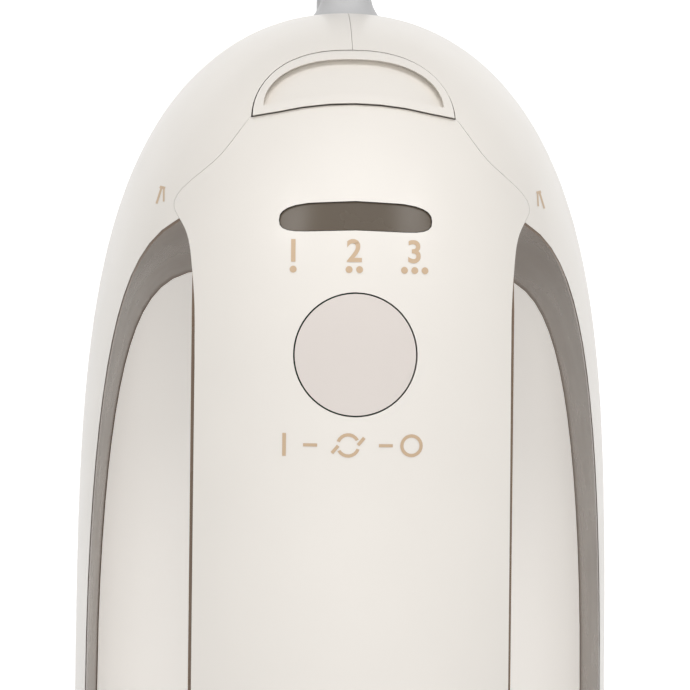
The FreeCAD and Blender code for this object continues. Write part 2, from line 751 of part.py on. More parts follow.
def beater_loop(wide, top, bottom, strip, width):
    """One closed loop of flat strip around the shank's axis, in the plane of x and y."""
    def outline(inset):
        reach, rise = wide - inset, bottom - top - 2 * inset
        side = [V(reach * a, top + inset + rise * b, 0) for a, b in LOOP_SHAPE]
        whole = side + [V(-p.x, p.y, 0) for p in reversed(side[:-1])]
        arcs = [Part.Arc(*whole[i:i + 3]).toShape() for i in range(0, len(whole) - 2, 2)]
        return Part.Face(Part.Wire(arcs))
    solid = outline(0).cut(outline(strip)).extrude(V(0, 0, width))
    solid.translate(V(0, 0, -width / 2))
    return solid


print("beaters")
CAGE_TOP = UNDERSIDE + 50
CAGE_END = UNDERSIDE + v.beater_reach
SHANK_TOP = PLATE_Y + 1 + 11.3 + 0.3
for side, hand, turn in ((-1, "left", 0), (1, "right", 45)):
    shank = Part.makeCylinder(v.beater_shank / 2, CAGE_TOP + 3 - SHANK_TOP, V(0, SHANK_TOP, 0), Y)
    collar = Part.makeCylinder(v.beater_shank / 2 + 1.8, 3, V(0, UNDERSIDE + 9, 0), Y)
    tip = Part.makeCylinder(3.2, 3.4, V(0, CAGE_END - 2.6, 0), Y)
    beater = shank.fuse([collar, tip])
    for angle in (0, 90):
        loop = beater_loop(v.beater_cage / 2, CAGE_TOP, CAGE_END, v.beater_strip,
                           v.beater_strip_width)
        loop.rotate(V(), Y, angle)
        beater = beater.fuse(loop)
    beater = beater.removeSplitter()
    beater.rotate(V(), Y, turn)
    beater.translate(V(side * v.spindle_half_pitch, 0, SPINDLE_Z))
    node(shaped(f"beater_{hand}", beater), f"beater_{hand}")

# ---------------------------------------------------------------- heel pads and screws

pad = block("pad", "pad_width", "pad_depth", "pad_height", ("0", "4", "pad_height / 2"))
node(pad, "heel_pad")

screws = []
for i, (y, z) in enumerate(SCREWS):
    head = cylinder(f"screw_head_{i}", f"{SCREW_HEAD}", "2", ("12.4", f"{y}", f"{z}"), "X")
    rod = cylinder(f"screw_rod_{i}", f"{SCREW_SIZE}", "22.4", ("-10", f"{y}", f"{z}"), "X")
    screws.append(fused(f"screw_{i}", head, rod))
node(group("screws", *screws), "case_screws")

# ---------------------------------------------------------------- cord

print("cord")
NOSE_Z = v.body_length - v.nose_tip_cut
neck, root = v.relief_neck / 2, v.relief_root / 2
outline = [V(0, 0, NOSE_Z - 7), V(neck + 2.2, 0, NOSE_Z - 7), V(neck + 2.2, 0, NOSE_Z - 4),
           V(neck + 0.05, 0, NOSE_Z - 4), V(neck + 0.05, 0, NOSE_Z + 0.1), V(root, 0, NOSE_Z + 0.1)]
flare = Part.Arc(V(root, 0, NOSE_Z + 0.1), V(neck + 0.45, 0, NOSE_Z + 1.9), V(neck, 0, NOSE_Z + 5.5))
tail_end = v.cord_size / 2 + 0.35
RELIEF_END = NOSE_Z + v.relief_length
last = [V(neck, 0, NOSE_Z + 5.5), V(tail_end, 0, RELIEF_END), V(0, 0, RELIEF_END)]
edges = [Part.LineSegment(a, b).toShape() for a, b in zip(outline, outline[1:])]
edges.append(flare.toShape())
edges += [Part.LineSegment(a, b).toShape() for a, b in zip(last, last[1:])]
edges.append(Part.LineSegment(last[-1], outline[0]).toShape())
relief = Part.Face(Part.Wire(edges)).revolve(V(), Z, 360)
relief.translate(V(0, v.widest_level, 0))
node(shaped("strain_relief", relief), "cord_strain_relief")

COIL_CENTRE = V(-31, 156, 0)
COIL_OUTER = v.coil_turn / 2 + v.cord_size / 2 + 2
COIL_ROUND = 4.0
CORD_START = RELIEF_END + 0.1
FOOT_TOP = 45.0
FALL = CORD_START + 14.5 - FOOT_TOP
CORD_ROUTE = [
    V(0, 6, CORD_START),
    V(0, 5.7, CORD_START + 15.9),
    V(0, 6, CORD_START + 45.5),
    V(0, 27.5, CORD_START + 67),
    V(0, 57.9, CORD_START + 67),
    V(0, 79.4, CORD_START + 45.5),
    V(0, 79.3, CORD_START + 14.5),
    V(0, 80.6, FOOT_TOP + 0.744 * FALL),
    V(0, 79.6, FOOT_TOP + 0.462 * FALL),
    V(0, 80, FOOT_TOP + 0.18 * FALL),
    V(0.2, 80.6, FOOT_TOP),
    V(1, 88.2, 25.6),
    V(2.4, 102, 11.2),
    V(5, 119.5, 4.4),
    V(9.6, 136, 4.1),
]


def cord_path(points):
    """Straight runs joined by tangent arcs, each as large as its two runs allow."""
    edges, start, radii = [], points[0], []
    for before, corner, after in zip(points, points[1:], points[2:]):
        a, b = (before - corner), (after - corner)
        short = min(a.Length, b.Length)
        a.normalize()
        b.normalize()
        half_turn = (math.pi - a.getAngle(b)) / 2
        radius = 0.45 * short / math.tan(half_turn)
        trim = radius * math.tan(half_turn)
        first, second = corner + a * trim, corner + b * trim
        centre_way = (a + b).normalize()
        middle = corner + centre_way * (radius / math.cos(half_turn) - radius)
        edges.append(Part.LineSegment(start, first).toShape())
        edges.append(Part.Arc(first, middle, second).toShape())
        start = second
        radii.append(round(radius, 1))
    edges.append(Part.LineSegment(start, points[-1]).toShape())
    return Part.Wire(edges), radii


path, radii = cord_path(CORD_ROUTE)
print("cord radii", radii)
way = CORD_ROUTE[1] - CORD_ROUTE[0]
ring = Part.Wire([Part.Circle(CORD_ROUTE[0], way, v.cord_size / 2).toShape()])
cord = path.makePipeShell([ring], True, True)
expected = math.pi * v.cord_size ** 2 / 4 * path.Length
print("cord length", round(path.Length, 1), "volume share", round(cord.Volume / expected, 4))

coil_ring = Part.makeCylinder(COIL_OUTER, v.coil_height, COIL_CENTRE + V(0, 0, v.tie_wall), Z)
coil_hole = Part.makeCylinder(v.coil_hole / 2, 40, COIL_CENTRE - V(0, 0, 5), Z)
coil = coil_ring.cut(coil_hole)
round_edges = [edge for edge in coil.Edges if isinstance(edge.Curve, Part.Circle)]
coil = coil.makeFillet(COIL_ROUND, round_edges)
node(shaped("coil_form", coil), "cord_coil")
node(shaped("cord_tube", cord.cut(coil)), "power_cord")

TIE_TURN = 130
band_depth = COIL_OUTER - v.coil_hole / 2
band = Part.makeBox(band_depth + 2 * v.tie_wall, v.tie_width, v.coil_height + 2 * v.tie_wall,
                    V(v.coil_hole / 2 - v.tie_wall, -v.tie_width / 2, 0))
long_edges = [edge for edge in band.Edges
              if abs(edge.Vertexes[0].Y - edge.Vertexes[-1].Y) > v.tie_width / 2]
band = band.makeFillet(COIL_ROUND, long_edges)
band.rotate(V(), Z, TIE_TURN)
band.translate(COIL_CENTRE)
node(shaped("tie_form", band.cut(coil)), "cord_tie")

PLUG_TURN = 252
PLUG_SIDE = 31.0
PLUG_NEAR = -8.0
PIN = (1.5, 6.3, 16.0)
plug_floor = v.coil_height + v.tie_wall
plug_middle = plug_floor + v.plug_height / 2
plug = Part.makeBox(v.plug_body_length, v.plug_width, v.plug_height,
                    V(PLUG_NEAR - v.plug_body_length, PLUG_SIDE - v.plug_width / 2, plug_floor))
plug = plug.makeFillet(3.0, plug.Edges)
sleeve = Part.makeCone(5.2, v.cord_size / 2 + 0.4, 18, V(PLUG_NEAR - 0.5, PLUG_SIDE, plug_middle), X)
plug = plug.fuse(sleeve)
pins = []
for side in (-1, 1):
    pin = Part.makeBox(PIN[2] + 4, PIN[0], PIN[1],
                       V(PLUG_NEAR - v.plug_body_length - PIN[2],
                         PLUG_SIDE + side * 6.35 - PIN[0] / 2, plug_middle - PIN[1] / 2))
    pins.append(pin)
plug = plug.cut(pins[0]).cut(pins[1])
for label, shape in (("plug_body", plug), ("plug_pins", Part.makeCompound(pins))):
    shape.rotate(V(), Z, PLUG_TURN)
    shape.translate(COIL_CENTRE)
    node(shaped(f"{label}_form", shape), label)

# ---------------------------------------------------------------- write the pieces

doc.recompute()
for thing in doc.Objects:
    if "Invalid" in thing.State or "Error" in thing.State:
        raise SystemExit(f"{thing.Label} failed: {thing.State}")
for made in NODES:
    shape = made.Shape
    if shape.isNull() or not shape.isValid():
        raise SystemExit(f"{made.Label} has no valid shape")
    b = shape.BoundBox
    print(made.Label, len(shape.Solids), round(shape.Volume),
          [round(n, 1) for n in (b.XMin, b.YMin, b.ZMin, b.XMax, b.YMax, b.ZMax)])
    shape.exportStep(f"parts/{made.Label}.step")
print(len(NODES), "pieces")
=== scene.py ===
"""A hand mixer that stands on its heel: finishes, printed marks, cord, camera and light."""

import json
import logging
import math
from dataclasses import dataclass, field
from enum import Enum

import bmesh
import bpy
from mathutils import Matrix, Vector
from mathutils.bvhtree import BVHTree

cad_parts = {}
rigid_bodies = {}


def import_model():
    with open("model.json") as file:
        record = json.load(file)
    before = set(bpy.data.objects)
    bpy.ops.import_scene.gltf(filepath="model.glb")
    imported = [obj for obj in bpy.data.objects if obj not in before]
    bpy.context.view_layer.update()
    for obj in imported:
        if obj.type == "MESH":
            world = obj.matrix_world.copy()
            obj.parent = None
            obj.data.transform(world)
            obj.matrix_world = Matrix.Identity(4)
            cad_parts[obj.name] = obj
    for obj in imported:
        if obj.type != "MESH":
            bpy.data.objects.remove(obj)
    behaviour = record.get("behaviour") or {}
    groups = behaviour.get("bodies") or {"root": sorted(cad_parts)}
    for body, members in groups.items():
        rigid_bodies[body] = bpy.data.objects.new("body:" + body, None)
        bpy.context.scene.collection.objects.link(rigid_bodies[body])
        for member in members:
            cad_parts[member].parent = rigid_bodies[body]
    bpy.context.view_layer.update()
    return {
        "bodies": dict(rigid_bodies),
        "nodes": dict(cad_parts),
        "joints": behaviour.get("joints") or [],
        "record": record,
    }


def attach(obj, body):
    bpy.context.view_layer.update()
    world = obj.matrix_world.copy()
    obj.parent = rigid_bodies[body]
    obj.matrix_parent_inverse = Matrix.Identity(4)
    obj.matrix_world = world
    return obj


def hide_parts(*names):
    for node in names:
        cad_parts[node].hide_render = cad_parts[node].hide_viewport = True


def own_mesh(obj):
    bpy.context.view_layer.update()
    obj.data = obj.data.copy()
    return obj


log = logging.getLogger("hand_mixer")

MM = 0.001
WHITE = (1.0, 1.0, 1.0, 1.0)

CLOUD_SCALE = 38.0
WEAR_SCALE = 95.0
NOISE_LOW, NOISE_HIGH = 0.3, 0.7
RELIEF_DEPTH = 0.1 * MM
SMOOTHEST = 0.02

MERGE_DISTANCE = 0.02 * MM
CREASE_ANGLE = math.radians(32)


def linear(channel: float) -> float:
    """Turns one screen colour channel, 0 to 255, into a linear one."""
    share = channel / 255
    return share / 12.92 if share <= 0.04045 else ((share + 0.055) / 1.055) ** 2.4


def colour(red: float, green: float, blue: float) -> tuple[float, float, float, float]:
    """Turns a screen colour into a linear one with full cover.

    Args:
        red, green, blue: channels from 0 to 255.

    Returns:
        The linear colour with alpha 1.
    """
    return (linear(red), linear(green), linear(blue), 1.0)


class Grain(Enum):
    """How fine a finish's surface relief is, as noise cells per metre."""

    MOULDED = 1400.0
    SATIN = 2600.0
    POLISHED = 500.0
    RUBBERY = 3200.0
    LAMINATED = 1800.0


@dataclass(frozen=True)
class Finish:
    """One finish: its colour, gloss and relief, and the record's slot it belongs to."""

    name: str
    slot: str
    tint: tuple[float, float, float]
    roughness: float
    grain: Grain = Grain.MOULDED
    relief: float = 0.04
    metallic: float = 0.0
    coat: float = 0.0
    mottle: float = 0.03
    smudge: float = 0.06
    subsurface: float = 0.0
    # Emission that makes a part glow though it is no lamp: painted light.
    glow: float = 0.0
    banded: bool = False

    def material(self) -> bpy.types.Material:
        """Builds the finish's node material once, and returns it."""
        if self.name in bpy.data.materials:
            return bpy.data.materials[self.name]
        made = bpy.data.materials.new(self.name)
        made.use_nodes = True
        tree = made.node_tree
        tree.nodes.clear()
        out = tree.nodes.new("ShaderNodeOutputMaterial")
        shader = tree.nodes.new("ShaderNodeBsdfPrincipled")
        tree.links.new(shader.outputs["BSDF"], out.inputs["Surface"])
        shader.inputs["Metallic"].default_value = self.metallic
        shader.inputs["Coat Weight"].default_value = self.coat
        shader.inputs["Coat Roughness"].default_value = 0.06
        shader.inputs["Subsurface Weight"].default_value = self.subsurface
        shader.inputs["Subsurface Scale"].default_value = 2 * MM
        # Painted light: the part glows in its own tint.
        if self.glow:
            shader.inputs["Emission Color"].default_value = colour(*self.tint)
            shader.inputs["Emission Strength"].default_value = self.glow
        place = tree.nodes.new("ShaderNodeTexCoord")
        self._tint(tree, place, shader)
        self._gloss(tree, place, shader)
        self._relief(tree, place, shader)
        return made

    def _tint(self, tree: bpy.types.NodeTree, place: bpy.types.Node,
              shader: bpy.types.Node) -> None:
        """Varies the colour a little over the surface, as a moulding's own tint does."""
        cloud = tree.nodes.new("ShaderNodeTexNoise")
        cloud.inputs["Scale"].default_value = CLOUD_SCALE
        cloud.inputs["Detail"].default_value = 3.0
        ramp = tree.nodes.new("ShaderNodeValToRGB")
        low = tuple(max(0.0, c * (1 - self.mottle)) for c in self.tint)
        high = tuple(min(255.0, c * (1 + self.mottle * 0.6)) for c in self.tint)
        ramp.color_ramp.elements[0].position = NOISE_LOW
        ramp.color_ramp.elements[1].position = NOISE_HIGH
        ramp.color_ramp.elements[0].color = colour(*low)
        ramp.color_ramp.elements[1].color = colour(*high)
        tree.links.new(place.outputs["Object"], cloud.inputs["Vector"])
        tree.links.new(cloud.outputs["Fac"], ramp.inputs["Fac"])
        tree.links.new(ramp.outputs["Color"], shader.inputs["Base Color"])

    def _gloss(self, tree: bpy.types.NodeTree, place: bpy.types.Node,
               shader: bpy.types.Node) -> None:
        """Varies the roughness, as handling does."""
        wear = tree.nodes.new("ShaderNodeTexNoise")
        wear.inputs["Scale"].default_value = WEAR_SCALE
        wear.inputs["Detail"].default_value = 5.0
        span = tree.nodes.new("ShaderNodeMapRange")
        span.inputs["From Min"].default_value = NOISE_LOW
        span.inputs["From Max"].default_value = NOISE_HIGH
        span.inputs["To Min"].default_value = max(SMOOTHEST, self.roughness - self.smudge / 2)
        span.inputs["To Max"].default_value = self.roughness + self.smudge / 2
        tree.links.new(place.outputs["Object"], wear.inputs["Vector"])
        tree.links.new(wear.outputs["Fac"], span.inputs["Value"])
        tree.links.new(span.outputs["Result"], shader.inputs["Roughness"])

    def _relief(self, tree: bpy.types.NodeTree, place: bpy.types.Node,
                shader: bpy.types.Node) -> None:
        """Adds the fine relief of the moulding, the brushing or the laminations."""
        bump = tree.nodes.new("ShaderNodeBump")
        bump.inputs["Strength"].default_value = self.relief
        bump.inputs["Distance"].default_value = RELIEF_DEPTH
        if self.banded:
            grain = tree.nodes.new("ShaderNodeTexWave")
            grain.bands_direction = "Z"
            grain.inputs["Scale"].default_value = self.grain.value / 8
        else:
            grain = tree.nodes.new("ShaderNodeTexNoise")
            grain.inputs["Scale"].default_value = self.grain.value
        grain.inputs["Detail"].default_value = 2.0
        tree.links.new(place.outputs["Object"], grain.inputs["Vector"])
        tree.links.new(grain.outputs["Fac"], bump.inputs["Height"])
        tree.links.new(bump.outputs["Normal"], shader.inputs["Normal"])


CREAM = Finish("cream_shell", "cream_plastic", (233, 228, 221), 0.36, Grain.SATIN, 0.03,
               coat=0.12, mottle=0.008)
# The saddle panel is the same cream, painted lighter and made to glow: painted light that fills
# the shade the handle casts into the opening.
SADDLE = Finish("saddle_cream_painted_light", "cream_plastic", (243, 240, 235), 0.40, Grain.SATIN, 0.03,
                mottle=0.008, glow=0.42)
BUTTON = Finish("button_cap", "button_plastic", (219, 211, 205), 0.40, Grain.SATIN, 0.05,
                mottle=0.008)
TAUPE = Finish("taupe_liner", "taupe_plastic", (114, 95, 78), 0.28, Grain.MOULDED, 0.03,
               coat=0.12, mottle=0.02)
LENS = Finish("window_smoke", "smoked_lens", (94, 84, 72), 0.26, Grain.POLISHED, 0.01,
              mottle=0.04)
PRINT = Finish("gold_print", "cream_plastic", (203, 176, 146), 0.42, Grain.SATIN, 0.03)
GREY = Finish("grey_flex", "grey_rubber", (190, 190, 191), 0.42, Grain.RUBBERY, 0.10,
              mottle=0.02)
PAD = Finish("heel_rubber", "pad_rubber", (120, 116, 110), 0.72, Grain.RUBBERY, 0.25)
TIE = Finish("tie_strap", "tie_plastic", (236, 236, 232), 0.5, Grain.MOULDED, 0.08)
CHROME = Finish("beater_chrome", "chrome", (226, 226, 226), 0.09, Grain.POLISHED, 0.02,
                metallic=1.0, mottle=0.01, smudge=0.05)
STEEL = Finish("turned_steel", "steel", (178, 178, 180), 0.28, Grain.MOULDED, 0.06, metallic=1.0)
SPRING = Finish("spring_wire", "spring_steel", (160, 160, 163), 0.3, Grain.POLISHED, 0.05,
                metallic=1.0)
IRON = Finish("lamination_stack", "lamination_iron", (98, 98, 101), 0.5, Grain.LAMINATED, 0.5,
              metallic=0.9, banded=True)
COPPER = Finish("enamelled_copper", "copper", (178, 98, 52), 0.3, Grain.LAMINATED, 0.4,
                metallic=0.9, banded=True)
BRASS = Finish("drawn_brass", "brass", (205, 168, 98), 0.25, Grain.POLISHED, 0.04, metallic=1.0)
CARBON = Finish("brush_carbon", "carbon", (34, 34, 35), 0.7, Grain.RUBBERY, 0.2)
BLACK = Finish("black_moulding", "black_plastic", (40, 40, 42), 0.45, Grain.MOULDED, 0.1)
FRAME = Finish("frame_moulding", "frame_plastic", (88, 90, 94), 0.5, Grain.MOULDED, 0.12)
NYLON = Finish("gear_nylon", "gear_nylon", (228, 227, 214), 0.45, Grain.SATIN, 0.05,
               subsurface=0.1)
BOARD = Finish("board_resin", "board_green", (42, 96, 66), 0.35, Grain.MOULDED, 0.1, coat=0.3)
DIODE = Finish("diode_resin", "led_clear", (236, 236, 222), 0.15, Grain.POLISHED, 0.02,
               coat=0.5)


def new_object(name: str, data: bpy.types.ID) -> bpy.types.Object:
    """Links a mesh, curve, camera or light into the scene as a new object at the origin."""
    made = bpy.data.objects.new(name, data)
    bpy.context.scene.collection.objects.link(made)
    return made


def dress(piece: bpy.types.Object, finish: Finish) -> bpy.types.Object:
    """Gives a piece one finish in every slot it has."""
    piece.data.materials.clear()
    piece.data.materials.append(finish.material())
    return piece


def dress_node(frame: dict, node: str, finish: Finish) -> None:
    """Gives a carried-over node one finish, on its object's own slots.

    Args:
        node: the node's name.
        finish: the finish it takes.
    """
    piece = frame["nodes"][node]
    if not piece.material_slots:
        piece.data.materials.append(None)
    for slot in piece.material_slots:
        slot.link = "OBJECT"
        slot.material = finish.material()
    log.info("finish %s on %s", finish.name, node)


@dataclass
class Studio:
    """The camera, the soft light, the floor and the pale backdrop.

    Places and sizes are in metres, powers in watts and angles in degrees.
    """

    camera_place: Vector = field(default_factory=lambda: Vector((-0.0124, -0.404, 0.1433)))
    camera_turn: float = 1.79
    camera_roll: float = 0.62
    lens: float = 135.9
    key_power: float = 4.6
    front_power: float = 2.2
    sheen_power: float = 0.9
    world_strength: float = 0.5
    key_place: Vector = field(default_factory=lambda: Vector((0.05, -0.6, 1.0)))
    key_size: float = 0.6
    front_place: Vector = field(default_factory=lambda: Vector((0.0, -1.1, 0.16)))
    front_size: float = 0.35
    sheen_place: Vector = field(default_factory=lambda: Vector((0.58, -0.55, 0.86)))
    sheen_size: float = 0.3
    aim: Vector = field(default_factory=lambda: Vector((0.0, 0.0, 0.12)))
    floor_half: float = 2.5
    backdrop_height: float = 2.6
    backdrop_lean: float = 0.3
    backdrop_bend: float = 0.8
    table_glow: float = 0.45
    backdrop_glow: float = 1.05
    table_reach: tuple[float, float] = (0.25, 0.65)

    def build(self) -> None:
        """Makes the camera first, then the light, then the floor."""
        self.make_camera()
        self.make_world()
        for lamp in (
                self.make_light("key", self.key_place, self.key_size, self.key_power),
                self.make_light("front", self.front_place, self.front_size, self.front_power)):
            lamp.visible_glossy = False
        for side, name in ((-1, "sheen_left"), (1, "sheen_right")):
            place = self.sheen_place * Vector((side, 1, 1))
            lamp = self.make_light(name, place, self.sheen_size, self.sheen_power)
            lamp.visible_diffuse = False
        self.make_floor()

    def make_camera(self) -> None:
        """A long lens level with the controls, square on to the handle's top."""
        data = bpy.data.cameras.new("camera")
        data.lens = self.lens
        data.sensor_width = 36.0
        data.clip_start = 0.01
        eye = new_object("camera", data)
        turn = Matrix.Rotation(math.radians(-self.camera_turn), 4, "Z")
        tilt = Matrix.Rotation(math.radians(90), 4, "X")
        roll = Matrix.Rotation(math.radians(self.camera_roll), 4, "Z")
        eye.matrix_world = Matrix.Translation(self.camera_place) @ turn @ tilt @ roll
        bpy.context.scene.camera = eye

    def make_world(self) -> None:
        """An even, nearly white surround."""
        world = bpy.data.worlds.new("studio_air")
        world.use_nodes = True
        back = world.node_tree.nodes["Background"]
        back.inputs["Color"].default_value = (1.0, 0.995, 0.99, 1.0)
        back.inputs["Strength"].default_value = self.world_strength
        bpy.context.scene.world = world
        bpy.context.scene.view_settings.view_transform = "Standard"

    def make_light(self, name: str, place: Vector, size: float,
                   power: float) -> bpy.types.Object:
        """One square softbox that faces the middle of the body.

        Args:
            name: the light's name.
            place: where it stands, in metres.
            size: the length of its side, in metres.
            power: its power, in watts.

        Returns:
            The light's object.
        """
        data = bpy.data.lights.new(name, "AREA")
        data.size = size
        data.energy = power
        lamp = new_object(name, data)
        lamp.location = place
        lamp.rotation_euler = (self.aim - place).to_track_quat("-Z", "Y").to_euler()
        return lamp

    def make_floor(self) -> None:
        """A pale floor that sweeps up into a backdrop."""
        shape = bmesh.new()
        bmesh.ops.create_grid(shape, x_segments=1, y_segments=1, size=self.floor_half)
        edge = [e for e in shape.edges if all(v.co.y > 0 for v in e.verts)]
        raised = bmesh.ops.extrude_edge_only(shape, edges=edge)
        top = [g for g in raised["geom"] if isinstance(g, bmesh.types.BMVert)]
        bmesh.ops.translate(shape, vec=(0, self.backdrop_lean, self.backdrop_height), verts=top)
        bmesh.ops.bevel(shape, geom=edge, affect="EDGES", offset=self.backdrop_bend, segments=12,
                        profile=0.5, material=-1)
        for face in shape.faces:
            face.smooth = True
        mesh = bpy.data.meshes.new("floor")
        shape.to_mesh(mesh)
        shape.free()
        floor = new_object("floor", mesh)
        floor.data.materials.append(self.floor_paint())

    def floor_paint(self) -> bpy.types.Material:
        """White that glows evenly, and less on the table just around the mixer: painted shade in
        a pool round the mixer, which also dims the light the table throws back up at it.
        """
        paint = bpy.data.materials.new("studio_white")
        paint.use_nodes = True
        tree = paint.node_tree
        shader = tree.nodes["Principled BSDF"]
        shader.inputs["Base Color"].default_value = colour(120, 120, 120)
        shader.inputs["Roughness"].default_value = 0.9
        shader.inputs["Emission Color"].default_value = WHITE
        place = tree.nodes.new("ShaderNodeTexCoord")
        reach = tree.nodes.new("ShaderNodeVectorMath")
        reach.operation = "LENGTH"
        span = tree.nodes.new("ShaderNodeMapRange")
        span.interpolation_type = "SMOOTHSTEP"
        # Dimmer glow within reach of the mixer: painted shade on the table around it.
        span.inputs["From Min"].default_value = self.table_reach[0]
        span.inputs["From Max"].default_value = self.table_reach[1]
        span.inputs["To Min"].default_value = self.table_glow
        span.inputs["To Max"].default_value = self.backdrop_glow
        tree.links.new(place.outputs["Object"], reach.inputs[0])
        tree.links.new(reach.outputs["Value"], span.inputs["Value"])
        tree.links.new(span.outputs["Result"], shader.inputs["Emission Strength"])
        return paint


@dataclass
class Cord:
    """The mains cord: over the nose, down behind the body and into a tied coil.

    diameter, length and centre are in metres. The rest is in millimetres and degrees.
    """

    diameter: float = 6.5 * MM
    length: float = 1.5
    centre: Vector = field(default_factory=lambda: Vector((-31, 156, 0)) * MM)
    start_turn: float = -30.0
    plug_turn: float = 252.0
    whole_turns: int = 4
    low_turns: float = 2.15
    high_turns: float = 2.2
    steps: int = 14
    low_radii: tuple[float, float] = (42.75, 28.6)
    high_radii: tuple[float, float] = (29.6, 43.6)
    low_level: float = 4.1
    high_level: float = 10.8
    plug_level: float = 21.2
    plug_side: float = 31.0
    plug_reach: float = 5.0
    rise_run: float = 95.0
    route: tuple[tuple[float, float, float], ...] = (
        (0, 6, 225.5),
        (0, 5.7, 241.4),
        (0, 6, 271),
        (0, 27.5, 292.5),
        (0, 57.9, 292.5),
        (0, 79.4, 271),
        (0, 79.3, 240),
        (0, 80.6, 190.1),
        (0, 79.6, 135.1),
        (0, 80, 80.1),
        (0.2, 80.6, 45),
        (1, 88.2, 25.6),
        (2.4, 102, 11.2),
        (5, 119.5, 4.4),
    )

    def lifted(self, level: float, left: float) -> float:
        """Raises a level smoothly towards the plug over the last stretch of the cord.

        Args:
            level: the height the cord has there without the rise, in millimetres.
            left: the length of cord left before the plug, in millimetres.

        Returns:
            The raised height, in millimetres.
        """
        share = max(0.0, 1 - left / self.rise_run)
        ease = share * share * (3 - 2 * share)
        return level + (self.plug_level - level) * ease

    def coil_points(self) -> list[Vector]:
        """The coil's turns: a spiral in on the table, then one out on top of it.

        Returns:
            The control points, in metres.
        """
        total = (self.plug_turn - self.start_turn) / 360 + self.whole_turns
        climb = total - self.low_turns - self.high_turns
        last_ring = 2 * math.pi * self.high_radii[1]
        quarter = math.pi / 2 * self.plug_side
        count = int(total * self.steps)
        points = []
        for i in range(count):
            done = total * i / count
            angle = math.radians(self.start_turn + 360 * done)
            radii, level = self.low_radii, self.low_level
            share = done / self.low_turns
            if done >= self.low_turns:
                share = (done - self.low_turns) / climb
                radii = (self.low_radii[1], self.high_radii[0])
                level += (self.high_level - self.low_level) * min(1.0, share)
            if done >= self.low_turns + climb:
                share = (done - self.low_turns - climb) / self.high_turns
                radii = self.high_radii
            radius = radii[0] + (radii[1] - radii[0]) * share
            level = self.lifted(level, (total - done) * last_ring + quarter)
            step = Vector((radius * math.cos(angle), radius * math.sin(angle), level))
            points.append(self.centre + step * MM)
        return points

    def tail_points(self) -> list[Vector]:
        """The last stretch: from the top turn, round to the side and into the plug's sleeve.

        Returns:
            The control points, in metres.
        """
        turn = Matrix.Rotation(math.radians(self.plug_turn), 3, "Z")
        quarter = math.pi / 2 * self.plug_side
        steps = 3
        shape = []
        for i in range(steps + 1):
            angle = math.pi / 2 * i / steps
            shape.append((self.high_radii[1] - self.plug_side * (1 - math.cos(angle)),
                          self.plug_side * math.sin(angle),
                          self.lifted(self.high_level, quarter * (1 - i / steps))))
        shape.append((self.plug_reach, self.plug_side, self.plug_level))
        return [self.centre + turn @ Vector(p) * MM for p in shape]

    def build(self, frame: dict) -> bpy.types.Object:
        """Returns:
            The cord's object.
        """
        points = [Vector(p) * MM for p in self.route] + self.coil_points() + self.tail_points()
        data = bpy.data.curves.new("mains_cord", "CURVE")
        data.dimensions = "3D"
        data.bevel_depth = self.diameter / 2
        data.bevel_resolution = 5
        data.resolution_u = 6
        data.use_fill_caps = True
        line = data.splines.new("NURBS")
        line.points.add(len(points) - 1)
        for made, point in zip(line.points, points):
            made.co = (*point, 1.0)
        line.order_u = 3
        line.use_endpoint_u = True
        cord = new_object("mains_cord", data)
        data.materials.append(GREY.material())
        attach(cord, "housing")
        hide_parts("power_cord", "cord_coil")
        log.info("mains_cord with %d points", len(points))
        return cord


